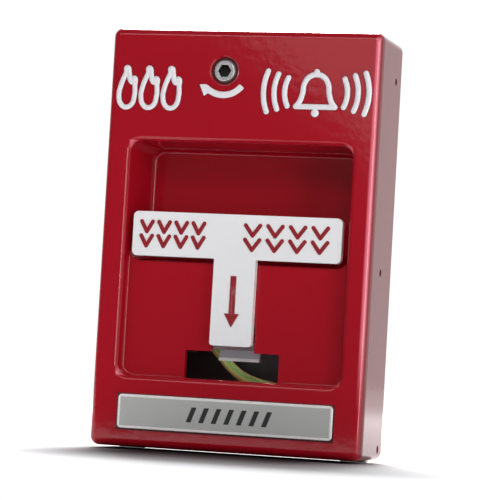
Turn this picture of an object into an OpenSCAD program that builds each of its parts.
// Pull-down manual call point for a wall box: a hinged die-cast cover on a fixed back plate.
// Frame: +Z up, -Y towards the user, origin at the centre of the two wall screws, on the wall plane.
// Depths called d run from the cover's front face (d = 0) back to the wall (d = unit_d).

/* [Cover] */
// Width of the cover
cover_w = 82.5; // [82:0.5:88]
// Height of the cover
cover_h = 123.8; // [123:0.2:130]
// Depth from the front face to the wall
unit_d = 26.4; // [26.2:0.1:28]
// Thickness of the side walls
wall_t = 2.4; // [2:0.1:2.8]
// Thickness of the front panel
front_t = 2.6; // [2.2:0.1:3]
// Rounding of the outer edges
edge_r = 2.6; // [1:0.1:2.6]

/* [Recess] */
// Width of the recess mouth
recess_w = 67.8; // [67:0.1:70]
// Top of the recess above the centre
recess_top = 28.6; // [27:0.1:30]
// Bottom of the recess below the centre
recess_low = 41.1; // [41:0.1:42]
// Depth of the shallow floor behind the stem
floor_d = 4.6; // [4.6:0.1:5]
// Depth of the finger pocket behind the bar
pocket_d = 18.5; // [17:0.5:19]
// Corner radius of the recess
recess_r = 3.5; // [2:0.5:4]

/* [Handle] */
// Width of the pull bar
bar_w = 63.5; // [60:0.5:65]
// Height of the pull bar
bar_h = 13.1; // [11:0.1:13.4]
// Width of the stem
stem_w = 12.6; // [11:0.1:12.6]
// Thickness of the handle
handle_t = 2.6; // [2.4:0.1:2.6]
// Depth of the handle's front face
handle_d = 1.7; // [1.4:0.1:1.7]

/* [Wall fixing] */
// Distance between the two wall screws
screw_pitch = 83.3; // [83.3]
// Radius of the wall screw holes
screw_r = 2.2; // [2:0.1:2.4]
// Thickness of the back plate
plate_t = 2; // [1.6:0.1:2]

/* [Hidden] */
$fn = 48;

skin_t = 2;                     // walls of the recess inside the cover
back_gap = 0.4;                 // cover's rear edge to the wall
fit = 0.06;                     // radial clearance of a turning fit
eps = 0.5;                      // how far a cut runs past a face

plate_w = 76.6;
plate_top = 57;
plate_low = 53;
window_w = 40;
window_top = 30;
window_low = 24;

hinge_d = unit_d - 5.2;
hinge_z = -cover_h / 2 + 3.3;
pin_r = 1.2;
ear_x0 = 30.4;
ear_x1 = 38.2;
ear_r = 4;

lock_x = -6;
lock_z = 49.6;
lock_head_r = 3.38;
lock_shank_r = 2.6;
lock_boss_d = 9.6;
cam_t = 1.5;
cam_len = 12.5;

keeper_x = [-13, -4.5];
keeper_z = [34.5, 42.5];
keeper_rivet_x = [-11, -7];
keeper_rivet_z = 42;
keeper_rivet_r = 1;

ground_x = 24;
ground_z = -46;
ground_screw_r = 1.6;

pocket_foot = 63.4;
pocket_low = -7;
pocket_top = 27.2;

bar_top = 7.6;
stem_low = -30.9;
slot_w = 28.6;
slot_top = -32.6;
slot_low = -41.1;
notch_w = 13.2;
notch_top = -24.4;

pivot_d = 12;
pivot_z = -29;
pivot_r = 1.5;
hub_x = 7.9;
hub_r = 2.8;
ear2_x = 8.4;
ear2_t = 2.5;

switch_z = -24.6;
switch_h = 10.5;
switch_w = 20;
switch_d0 = 12;
switch_t = 6.4;
plunger_r = 0.8;
plunger_d = pivot_d + 3.2;
switch_screw_x = [-4.75, 4.75];
switch_screw_z = -21;

block_x = -34.5;
block_w = 20;
block_z = -33;
block_h = 13;
block_d = 11;
pole_pitch = 4.7;
pole_x = [for (i = [0 : 3]) block_x + 2.95 + i * pole_pitch];
pole_z = block_z + 8;
block_screw_x = [-28.625, -19.225];
block_screw_z = block_z + 2.4;
floor_back = floor_d + skin_t;

rivet_x = [-3, 3];
rivet_z = -26.2;
rivet_r = 0.9;

side_holes = [[19.3, 49.8], [12.4, -7.1]]; // depth and height of each
side_hole_r = 1.1;

mark_t = 0.6;
mark_z = 43.8;
flame_x = -28.85;
flame_pitch = 6.85;
bell_x = 22.1;
name_x = [-32.5, 32.5];
name_z = [-56.5, -46.5];

// Route of the green lead, as [x, d, z]
ground_route = [
  [20.4, 22.7, -45.4], [17, 22.3, -44.2], [13, 21.6, -43.2], [8.5, 20.8, -42.3], [4, 20.2, -41.3],
  [-0.5, 20, -39.6], [-4.3, 20, -37], [-7.4, 20.1, -33.8], [-10.2, 20.6, -31], [-12, 21, -28.8],
  [-12, 21, -26.2], [-12.6, 21.6, -24], [-14.2, 22.8, -22], [-15.6, 23.8, -20.4]
];
lead_r = 1.6;

// Routes of the two leads from the switch to the terminals, as [x, d, z]
short_route = [
  [-7.5, 16.2, -11.6], [-10, 17, -12], [-13, 17.2, -13.2], [-15.8, 16.7, -15.4], [-17.2, 16.1, -17.4],
  [-17.4, 16, -18.8], [-17.4, 16, -19.4], [-17.4, 16, -20]
];
long_route = [
  [0, 16.2, -11.6], [-3, 18, -11.4], [-8, 19.4, -11.6], [-14, 19.4, -12.6], [-19, 18.4, -14.6],
  [-21.6, 16.6, -16.8], [-22.1, 16, -18.7], [-22.1, 16, -19.4], [-22.1, 16, -20]
];
thin_lead_r = 0.8;

// ---- helpers -------------------------------------------------------------------------------

function fy(d) = d - unit_d;

// Extrudes an outline drawn in X and Z from depth d0 to depth d1
module slab(d0, d1) {
  translate([0, fy(d1), 0]) rotate([90, 0, 0]) linear_extrude(d1 - d0) children();
}

// A rectangle with round corners, given by its left, right, low and top edges
module round_box(x0, x1, z0, z1, r) {
  translate([x0 + r, z0]) square([x1 - x0 - 2 * r, z1 - z0]);
  translate([x0, z0 + r]) square([x1 - x0, z1 - z0 - 2 * r]);
  for (x = [x0 + r, x1 - r], z = [z0 + r, z1 - r]) translate([x, z]) circle(r);
}

// A block from corner to corner, in X, depth and Z
module block(x0, x1, d0, d1, z0, z1) {
  translate([x0, fy(d0), z0]) cube([x1 - x0, d1 - d0, z1 - z0]);
}

// A round bar along X
module x_rod(x0, x1, d, z, r) {
  translate([x0, fy(d), z]) rotate([0, 90, 0]) cylinder(h = x1 - x0, r = r);
}

// A round bar along Y, from depth d0 with radius r0 to depth d1 with radius r1
module y_rod(x, z, d0, d1, r0, r1 = -1) {
  translate([x, fy(d0), z]) rotate([-90, 0, 0]) cylinder(h = d1 - d0, r1 = r0, r2 = r1 < 0 ? r0 : r1);
}

// One straight stroke with round ends
module stroke(p, q, w) {
  len = norm(q - p);
  translate(p) rotate(atan2(q[1] - p[1], q[0] - p[0])) translate([0, -w / 2]) square([len, w]);
  translate(p) circle(w / 2, $fn = 24);
  translate(q) circle(w / 2, $fn = 24);
}

module strokes(pts, w) {
  for (i = [0 : len(pts) - 2]) stroke(pts[i], pts[i + 1], w);
}

// A smooth curve through the points, with n steps between each two
function at(p, i) = p[max(0, min(len(p) - 1, i))];
function curve_point(p, i, t) =
  0.5 * (2 * at(p, i) + (at(p, i + 1) - at(p, i - 1)) * t
    + (2 * at(p, i - 1) - 5 * at(p, i) + 4 * at(p, i + 1) - at(p, i + 2)) * t * t
    + (3 * at(p, i) - at(p, i - 1) - 3 * at(p, i + 1) + at(p, i + 2)) * t * t * t);
function curve(p, n) =
  concat([for (i = [0 : len(p) - 2], k = [0 : n - 1]) curve_point(p, i, k / n)], [p[len(p) - 1]]);

// A round lead swept along a route of [x, d, z] points
function unit(v) = v / norm(v);
function heading(p, i) = unit(at(p, i + 1) - at(p, i - 1));
module lead(route, r, steps = 3, sides = 8) {
  path = curve([for (q = route) [q[0], fy(q[1]), q[2]]], steps);
  n = len(path);
  rings = [
    for (i = [0 : n - 1])
      let (t = heading(path, i), u = unit(cross(t, [0, 1, 0.05])), v = cross(t, u))
        for (k = [0 : sides - 1])
          path[i] + r * (cos(360 * k / sides) * u + sin(360 * k / sides) * v)
  ];
  walls = [
    for (i = [0 : n - 2], k = [0 : sides - 1])
      let (a = i * sides + k, b = i * sides + (k + 1) % sides)
        [a, a + sides, b + sides, b]
  ];
  start = [for (k = [0 : sides - 1]) k];
  finish = [for (k = [sides - 1 : -1 : 0]) (n - 1) * sides + k];
  polyhedron(rings, concat(walls, [start, finish]), convexity = 6);
}

module screw_head(x, z, d0, r, h) {
  difference() {
    y_rod(x, z, d0 - h, d0, r * 0.72, r);
    block(x - 0.35, x + 0.35, d0 - h - eps, d0 - h * 0.55, z - r, z + r);
  }
}

// A screw that is driven from the back: the head is at depth d1
module back_screw(x, z, d0, d1, shank_r, r, h) {
  y_rod(x, z, d0, d1, shank_r);
  difference() {
    y_rod(x, z, d1, d1 + h, r, r * 0.8);
    block(x - r, x + r, d1 + h * 0.5, d1 + h + eps, z - 0.3, z + 0.3);
  }
}

// ---- fixed back plate ----------------------------------------------------------------------

module back_plate() {
  color("gainsboro") difference() {
    union() {
      slab(unit_d - plate_t, unit_d) round_box(-plate_w / 2, plate_w / 2, -plate_low, plate_top, 3);
      for (s = [-1, 1]) {
        x0 = s > 0 ? ear_x0 : -ear_x1;
        x_rod(x0, x0 + ear_x1 - ear_x0, hinge_d, hinge_z, ear_r);
        block(x0, x0 + ear_x1 - ear_x0, hinge_d, unit_d, hinge_z, -plate_low + 3);
      }
    }
    slab(unit_d - plate_t - eps, unit_d + eps)
      round_box(-window_w / 2, window_w / 2, -window_low, window_top, 2);
    for (z = [-screw_pitch / 2, screw_pitch / 2])
      y_rod(0, z, unit_d - plate_t - eps, unit_d + eps, screw_r);
    x_rod(-plate_w / 2, plate_w / 2, hinge_d, hinge_z, pin_r + fit);
    for (x = keeper_rivet_x) y_rod(x, keeper_rivet_z, unit_d - plate_t - eps, unit_d + eps, keeper_rivet_r);
    y_rod(ground_x, ground_z, unit_d - plate_t - eps, unit_d + eps, ground_screw_r);
  }
}

module lock_keeper() {
  front = lock_boss_d - 1.9;
  foot = unit_d - plate_t;
  color("silver") difference() {
    union() {
      block(keeper_x[0], keeper_x[1], front, front + 1.5, keeper_z[0], keeper_z[1]);
      block(keeper_x[0], keeper_x[1], front, foot, keeper_z[0], keeper_z[0] + 1.5);
      block(keeper_x[0], keeper_x[1], foot - 1.5, foot, keeper_z[0], keeper_z[1] + 2);
    }
    for (x = keeper_rivet_x) y_rod(x, keeper_rivet_z, foot - 2, foot + eps, keeper_rivet_r);
  }
}

module keeper_rivets() {
  color("lightgray") for (x = keeper_rivet_x) {
    y_rod(x, keeper_rivet_z, unit_d - plate_t - 1.5, unit_d - 0.2, keeper_rivet_r);
    y_rod(x, keeper_rivet_z, unit_d - plate_t - 2.3, unit_d - plate_t - 1.5, 1.1, 1.7);
  }
}

module ground_screw() {
  color("seagreen") {
    y_rod(ground_x, ground_z, unit_d - plate_t - 0.8, unit_d - 0.2, ground_screw_r);
    screw_head(ground_x, ground_z, unit_d - plate_t - 0.8, 3.4, 1.9);
  }
}

module ground_lug() {
  front = unit_d - plate_t - 0.8;
  color("silver") difference() {
    union() {
      y_rod(ground_x, ground_z, front, front + 0.8, 3.8);
      block(ground_x - 4.8, ground_x, front, front + 0.8, ground_z - 1.2, ground_z + 2);
    }
    y_rod(ground_x, ground_z, front - eps, front + 0.8 + eps, ground_screw_r);
    lead(ground_route, lead_r);
  }
}

module ground_lead() {
  color("limegreen") lead(ground_route, lead_r);
}

module lead_cap() {
  color("whitesmoke") difference() {
    translate([-15.9, fy(24), -20.2]) rotate([0, -6, 0]) {
      cylinder(h = 6, r = 2.3);
      translate([0, 0, 6]) cylinder(h = 3.4, r1 = 2.3, r2 = 1.4);
    }
    lead(ground_route, lead_r);
  }
}

module lead_clip() {
  front = 19.1;
  color("ivory") difference() {
    block(-14.4, -9.6, front, unit_d - plate_t, -29, -26);
    lead(ground_route, lead_r);
  }
}

// ---- hinged cover --------------------------------------------------------------------------

// Outer form of the cover, with its front edges and corners rounded
module cover_form() {
  rear = unit_d - back_gap;
  hull() for (x = [-1, 1], z = [-1, 1]) {
    cx = x * (cover_w / 2 - edge_r);
    cz = z * (cover_h / 2 - edge_r);
    translate([cx, fy(edge_r), cz]) rotate([90, 0, 0]) sphere(edge_r, $fn = 32);
    translate([cx, fy(edge_r), cz]) rotate([-90, 0, 0]) cylinder(h = rear - edge_r, r = edge_r, $fn = 32);
  }
}

// Everything behind and below the hinge that would foul the wall when the cover swings
module heel_cut() {
  reach = 4.8;
  difference() {
    block(-cover_w, cover_w, hinge_d, unit_d + 2, -cover_h, hinge_z);
    x_rod(-cover_w, cover_w, hinge_d, hinge_z, reach);
  }
}

// The finger pocket, which narrows from its mouth to its foot; grow thickens it all round
module pocket_form(mouth_d, grow) {
  mouth = recess_w / 2 + grow;
  foot = pocket_foot / 2 + grow;
  hull() {
    slab(mouth_d, mouth_d + 0.1) round_box(-mouth, mouth, pocket_low - grow, recess_top + grow, recess_r);
    slab(pocket_d + grow - 0.1, pocket_d + grow)
      round_box(-foot, foot, pocket_low + 1.4 - grow, pocket_top + grow, recess_r);
  }
}

module recess_walls() {
  half = recess_w / 2 + skin_t;
  pocket_form(front_t - eps, skin_t);
  slab(front_t - eps, floor_back) round_box(-half, half, -recess_low - skin_t, 0, recess_r);
}

module recess_space() {
  half = recess_w / 2;
  slab(-eps, floor_d) round_box(-half, half, -recess_low, recess_top, recess_r);
  pocket_form(floor_d - 1, 0);
}

module slot_space() {
  slab(floor_d - eps, floor_back + eps) {
    round_box(-slot_w / 2, slot_w / 2, slot_low, slot_top, 0.8);
    translate([-notch_w / 2, slot_top - 1]) square([notch_w, notch_top - slot_top + 1]);
  }
}

module cover_bosses() {
  y_rod(lock_x, lock_z, front_t - eps, lock_boss_d, 5.2);
  for (x = switch_screw_x) y_rod(x, switch_screw_z, floor_back - eps, switch_d0, 2.1);
  for (x = [-ear2_x - ear2_t, ear2_x]) {
    x_rod(x, x + ear2_t, pivot_d, pivot_z, 3);
    block(x, x + ear2_t, floor_back - eps, pivot_d, pivot_z - 3, pivot_z + 3);
  }
  for (x = [-ear_x0 + 0.6, ear_x0 - 3.2]) {
    x_rod(x, x + 2.6, hinge_d, hinge_z, 3.2);
    block(x, x + 2.6, hinge_d - 3.2, hinge_d + 3.2, -cover_h / 2 + 1, hinge_z);
  }
}

module cover() {
  rear = unit_d - back_gap;
  inner = [cover_w / 2 - wall_t, cover_h / 2 - wall_t];
  color("firebrick") difference() {
    union() {
      difference() {
        cover_form();
        slab(front_t, unit_d + 1) round_box(-inner[0], inner[0], -inner[1], inner[1], 1.2);
      }
      recess_walls();
      cover_bosses();
    }
    recess_space();
    slot_space();
    heel_cut();
    for (s = [-1, 1]) {
      x0 = s > 0 ? ear_x0 - 0.4 : -ear_x1 - 0.4;
      block(x0, x0 + ear_x1 - ear_x0 + 0.8, hinge_d - 4.8, unit_d + 1, -cover_h, -inner[1] + 1.3);
    }
    x_rod(-cover_w, cover_w, hinge_d, hinge_z, pin_r);
    x_rod(-15, 15, pivot_d, pivot_z, pivot_r);
    y_rod(lock_x, lock_z, -eps, 0.9, 4.1);
    y_rod(lock_x, lock_z, 0, lock_boss_d + eps, lock_shank_r + fit);
    for (h = side_holes) x_rod(inner[0] - eps, cover_w, h[0], h[1], side_hole_r);
    for (x = switch_screw_x) y_rod(x, switch_screw_z, floor_back, switch_d0 + eps, 0.9);
    for (x = block_screw_x) y_rod(x, block_screw_z, floor_back - 1.2, floor_back + eps, 0.9);
  }
}

// A closed outline drawn as a line of width w
module outline(pts, w) {
  difference() {
    offset(w / 2, $fn = 24) polygon(pts);
    offset(-w / 2, $fn = 24) polygon(pts);
  }
}

// One flame drawn as a line: a tall tongue and a short one beside it
module flame(x, z) {
  edge = [
    [-0.3, 6], [0.5, 4], [0.9, 2.2], [1.6, 1.7], [2, 2.9], [2.4, 0.6], [2.4, -2.6], [1.6, -5], [0, -5.8],
    [-1.6, -5], [-2.4, -2.6], [-2.1, 0.2], [-1.3, 2.6], [-0.5, 4.6], [-0.3, 6]
  ];
  translate([x, z]) outline(curve(edge, 2), 1.6);
}

module flame_marks() {
  color("white") slab(-mark_t, 0) for (i = [-1 : 1]) flame(flame_x + i * flame_pitch, mark_z);
}

// A bell with its clapper and rim
module bell() {
  side = [[0, 5.2], [2.2, 4.5], [3.6, 2.4], [4, -0.4], [4.8, -2.8], [5.9, -4.2]];
  for (s = [-1, 1]) strokes([for (p = curve(side, 2)) [s * p[0], p[1]]], 1.7);
  stroke([-5.9, -4.2], [5.9, -4.2], 1.7);
  translate([0, -6]) circle(1.3, $fn = 24);
  translate([0, 6]) circle(1, $fn = 24);
}

// Part of a flat ring, from the X axis round by sweep degrees
module arc_band(r, sweep, w) {
  n = max(3, ceil(sweep / 12));
  outer = [for (i = [0 : n]) (r + w / 2) * [cos(sweep * i / n), sin(sweep * i / n)]];
  inner = [for (i = [n : -1 : 0]) (r - w / 2) * [cos(sweep * i / n), sin(sweep * i / n)]];
  polygon(concat(outer, inner));
}

// Arc drawn as a line with round ends, about the origin
module arc_stroke(r, a0, a1, w) {
  rotate(a0) arc_band(r, a1 - a0, w);
  for (a = [a0, a1]) translate([r * cos(a), r * sin(a)]) circle(w / 2, $fn = 24);
}

module bell_mark() {
  color("white") slab(-mark_t, 0) translate([bell_x, mark_z]) {
    bell();
    for (r = [9.4, 12.6, 15.8], turn = [0, 180]) {
      spread = 26 - (r - 9.4) * 0.6;
      rotate(turn) arc_stroke(r, -spread, spread, 1.7);
    }
  }
}

module turn_arrow() {
  color("white") slab(-mark_t, 0) translate([lock_x, lock_z]) {
    arc_stroke(7.2, 238, 322, 1.9);
    polygon([[-2.9, -8.4], [-5.2, -4.2], [-7.4, -4], [-5.2, -8]]);
  }
}

module nameplate() {
  color("darkgray") slab(-0.4, 0) round_box(name_x[0], name_x[1], name_z[0], name_z[1], 1.2);
}

module hinge_pins() {
  color("silver") for (s = [-1, 1]) {
    x0 = s > 0 ? ear_x0 - 3 : -cover_w / 2 + 0.6;
    x_rod(x0, x0 + cover_w / 2 - 0.6 - ear_x0 + 3, hinge_d, hinge_z, pin_r);
  }
}

module handle_pin() {
  end = ear2_x + ear2_t + 1.5;
  color("silver") x_rod(-end, end, pivot_d, pivot_z, pivot_r);
}

module retaining_rings() {
  start = ear2_x + ear2_t + 0.1;
  color("dimgray") for (x = [-start - 0.7, start]) difference() {
    x_rod(x, x + 0.7, pivot_d, pivot_z, 3.1);
    x_rod(x - eps, x + 0.7 + eps, pivot_d, pivot_z, pivot_r);
    block(x - eps, x + 0.7 + eps, pivot_d, pivot_d + 4, pivot_z - 0.9, pivot_z + 0.9);
  }
}

module friction_washers() {
  color("gray") for (x = [-ear2_x + 0.02, hub_x + 0.06]) difference() {
    x_rod(x, x + 0.42, pivot_d, pivot_z, 2.7);
    x_rod(x - eps, x + 0.42 + eps, pivot_d, pivot_z, pivot_r + 0.05);
  }
}

module switch_body() {
  color("black") difference() {
    block(-switch_w / 2, switch_w / 2, switch_d0, switch_d0 + switch_t, switch_z, switch_z + switch_h);
    for (x = switch_screw_x) y_rod(x, switch_screw_z, switch_d0 - eps, switch_d0 + switch_t + eps, 1.2);
    translate([0, fy(plunger_d), switch_z - eps]) cylinder(h = 6.2 + eps, r = plunger_r + fit);
  }
}

module switch_tabs() {
  top = switch_z + switch_h;
  color("gold") for (x = [-7.5, 0, 7.5])
    block(x - 1.2, x + 1.2, plunger_d - 0.25, plunger_d + 0.25, top, top + 3.6);
}

module switch_screws() {
  color("silver") for (x = switch_screw_x)
    back_screw(x, switch_screw_z, floor_back + 0.6, switch_d0 + switch_t, 0.9, 1.9, 1.3);
}

module terminal_block() {
  back = floor_back + block_d;
  color("darkslategray") difference() {
    block(block_x, block_x + block_w, floor_back, back, block_z, block_z + block_h);
    for (x = pole_x) {
      y_rod(x, pole_z, back - 4, back + eps, 1.85);
      translate([x, fy(back - 7), block_z - eps]) cylinder(h = 5 + eps, r = 1.5);
    }
    for (x = block_screw_x) {
      y_rod(x, block_screw_z, floor_back - eps, back + eps, 0.9);
      y_rod(x, block_screw_z, back - 3, back + eps, 1.7);
    }
  }
}

module terminal_screws() {
  back = floor_back + block_d;
  color("silver") for (x = pole_x) difference() {
    y_rod(x, pole_z, back - 4, back - 0.9, 1.75);
    block(x - 2, x + 2, back - 1.7, back, pole_z - 0.3, pole_z + 0.3);
  }
}

module block_screws() {
  back = floor_back + block_d;
  color("silver") for (x = block_screw_x)
    back_screw(x, block_screw_z, floor_back - 1, back - 3, 0.88, 1.6, 1.2);
}

module lead_short() {
  color("black") lead(short_route, thin_lead_r);
}

module lead_long() {
  color("white") lead(long_route, thin_lead_r);
}

// ---- pull handle ---------------------------------------------------------------------------

module pull_handle() {
  color("whitesmoke") difference() {
    slab(handle_d, handle_d + handle_t) {
      round_box(-bar_w / 2, bar_w / 2, bar_top - bar_h, bar_top, 1.5);
      round_box(-stem_w / 2, stem_w / 2, stem_low, bar_top - 2, 1);
    }
    for (x = rivet_x) y_rod(x, rivet_z, handle_d + 1.2, handle_d + handle_t + eps, rivet_r);
  }
}

// Two stacked V shapes that point down
module chevrons(x, w) {
  for (z = [4.6, 0.4]) {
    stroke([x - w / 2, z], [x, z - 3], 1.2);
    stroke([x + w / 2, z], [x, z - 3], 1.2);
  }
}

module pull_chevrons() {
  color("crimson") slab(handle_d - 0.2, handle_d) {
    for (i = [0 : 3]) chevrons(-27.4 + i * 5.3, 3.4);
    for (i = [0 : 3]) chevrons(5 + i * 6.8, 4.4);
  }
}

module pull_arrow() {
  color("crimson") slab(handle_d - 0.2, handle_d) {
    translate([-0.9, -22]) square([1.8, 11.6]);
    polygon([[-2.3, -21.4], [2.3, -21.4], [0, -25.5]]);
  }
}

module pull_lever() {
  back = handle_d + handle_t;
  color("darkgray") difference() {
    union() {
      block(-5.2, 5.2, back, back + 1.5, -30.6, -24.9);
      block(-5.2, 5.2, back, pivot_d, -30.6, -27.8);
      x_rod(-hub_x, hub_x, pivot_d, pivot_z, hub_r);
      block(-6.2, 6.2, pivot_d + 1.2, pivot_d + 2.7, -35.1, pivot_z);
      block(-6.2, 6.2, pivot_d + 0.3, pivot_d + 1.4, -35.1, -34.2);
      block(-3, 3, pivot_d + 2, pivot_d + 5.4, -30.5, pivot_z + 0.8);
    }
    x_rod(-hub_x - 1, hub_x + 1, pivot_d, pivot_z, pivot_r + fit);
    for (x = rivet_x) y_rod(x, rivet_z, back - eps, back + 2, rivet_r);
  }
}

module lever_rivets() {
  back = handle_d + handle_t;
  color("silver") for (x = rivet_x) {
    y_rod(x, rivet_z, handle_d + 1.2, back + 1.5, rivet_r);
    y_rod(x, rivet_z, back + 1.5, back + 2.1, 1.4, 1);
  }
}

// ---- cover lock ----------------------------------------------------------------------------

module lock_screw() {
  color("silver") difference() {
    union() {
      y_rod(lock_x, lock_z, 0.05, 0.85, 2.95, lock_head_r);
      y_rod(lock_x, lock_z, 0.8, lock_boss_d + 0.1, lock_shank_r);
      y_rod(lock_x, lock_z, lock_boss_d, lock_boss_d + 4, 1.6);
    }
    translate([lock_x, fy(-eps), lock_z]) rotate([-90, 0, 0]) cylinder(h = 3, r = 2.05, $fn = 6);
  }
}

module lock_cam() {
  color("darkgray") slab(lock_boss_d + 0.1, lock_boss_d + 0.1 + cam_t) difference() {
    union() {
      translate([lock_x, lock_z]) circle(4.4);
      translate([lock_x, lock_z - 3]) square([cam_len - 1, 6]);
      translate([lock_x + cam_len - 3, lock_z]) circle(3);
    }
    translate([lock_x, lock_z]) circle(1.6);
  }
}

module lock_nut() {
  front = lock_boss_d + 0.1 + cam_t;
  color("silver") difference() {
    translate([lock_x, fy(front), lock_z]) rotate([-90, 0, 0]) cylinder(h = 1.8, r = 3.1, $fn = 6);
    y_rod(lock_x, lock_z, front - eps, front + 2.3, 1.6);
  }
}

// ---- switch plunger ------------------------------------------------------------------------

module switch_plunger() {
  color("red") translate([0, fy(plunger_d), pivot_z + 1.1]) {
    translate([0, 0, plunger_r]) sphere(plunger_r);
    translate([0, 0, plunger_r]) cylinder(h = 5.2, r = plunger_r);
  }
}

back_plate();
lock_keeper();
keeper_rivets();
ground_screw();
ground_lug();
ground_lead();
lead_cap();
lead_clip();
cover();
flame_marks();
bell_mark();
turn_arrow();
nameplate();
hinge_pins();
handle_pin();
retaining_rings();
friction_washers();
switch_body();
switch_tabs();
switch_screws();
terminal_block();
terminal_screws();
block_screws();
lead_short();
lead_long();
pull_handle();
pull_chevrons();
pull_arrow();
pull_lever();
lever_rivets();
lock_screw();
lock_cam();
lock_nut();
switch_plunger();
